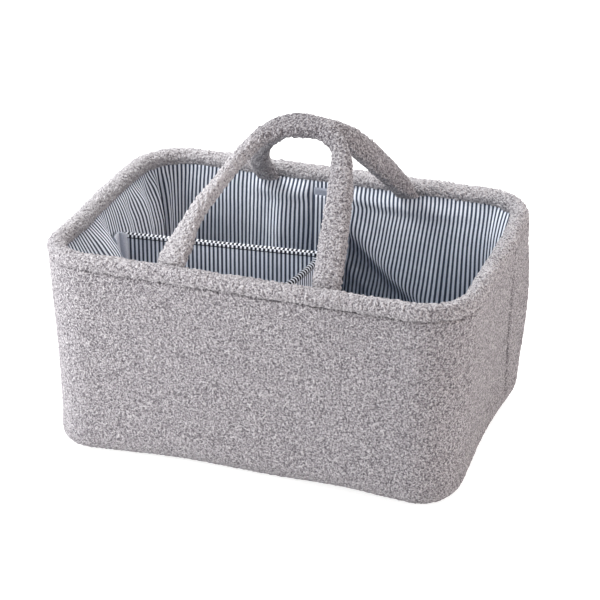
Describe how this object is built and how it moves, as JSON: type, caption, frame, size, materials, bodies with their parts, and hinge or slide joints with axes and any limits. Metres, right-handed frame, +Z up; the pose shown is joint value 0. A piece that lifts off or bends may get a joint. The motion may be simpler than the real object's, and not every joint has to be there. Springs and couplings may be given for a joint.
{
  "type": "diaper caddy",
  "caption": "Open padded fabric caddy with a rolled rim, padded handles that swing outwards and striped dividers that lift out, for carrying diapers and baby supplies.",
  "frame": {"origin": "middle of the base, on the surface that the caddy stands on", "axes": "+X along the caddy's length, +Y towards its back wall, +Z up"},
  "size_m": [0.379, 0.2614, 0.2915],
  "materials": {
    "boucle": "nubbly light grey boucle cloth",
    "striped_lining": "woven navy and pale blue stripe",
    "hook_loop_tape": "matt grey-blue tape",
    "foam": "soft foam",
    "board": "stiff grey board"
  },
  "bodies": {
    "basket": {"outer_front_cover": "boucle", "outer_back_cover": "boucle", "outer_base_cover": "boucle", "rim_binding": "boucle", "front_left_handle_foot": "boucle", "front_right_handle_foot": "boucle", "back_left_handle_foot": "boucle", "back_right_handle_foot": "boucle", "wall_lining": "striped_lining", "floor_lining": "striped_lining", "left_loop_strip": "hook_loop_tape", "front_loop_strip": "hook_loop_tape", "back_loop_strip": "hook_loop_tape", "front_wall_foam": "foam", "back_wall_foam": "foam", "base_foam": "foam", "rim_cord": "foam", "base_board": "board"},
    "front_handle": {"front_handle_cover": "boucle", "front_handle_core": "foam"},
    "back_handle": {"back_handle_cover": "boucle", "back_handle_core": "foam"},
    "cross_divider": {"cross_divider_cover": "striped_lining", "cross_divider_hem": "striped_lining", "cross_divider_back_flap": "striped_lining", "cross_divider_front_flap": "striped_lining", "cross_divider_loop_strip": "hook_loop_tape", "cross_divider_board": "board"},
    "long_divider": {"long_divider_cover": "striped_lining", "long_divider_hem": "striped_lining", "long_divider_inner_flap": "striped_lining", "long_divider_wall_flap": "hook_loop_tape", "long_divider_board": "board"}
  },
  "joints": [
    {"name": "front_handle_swing", "type": "hinge", "parent": "basket", "child": "front_handle", "pos_m": [0, -0.11039, 0.18095], "axis": [1, 0, 0], "range_deg": [0, 60]},
    {"name": "back_handle_swing", "type": "hinge", "parent": "basket", "child": "back_handle", "pos_m": [0, 0.11048, 0.18018], "axis": [-1, 0, 0], "range_deg": [0, 60]},
    {"name": "cross_divider_lift", "type": "slide", "parent": "basket", "child": "cross_divider", "axis": [0, 0, 1], "range_m": [0, 0.1]},
    {"name": "long_divider_lift", "type": "slide", "parent": "basket", "child": "long_divider", "axis": [0, 0, 1], "range_m": [0, 0.1]}
  ]
}
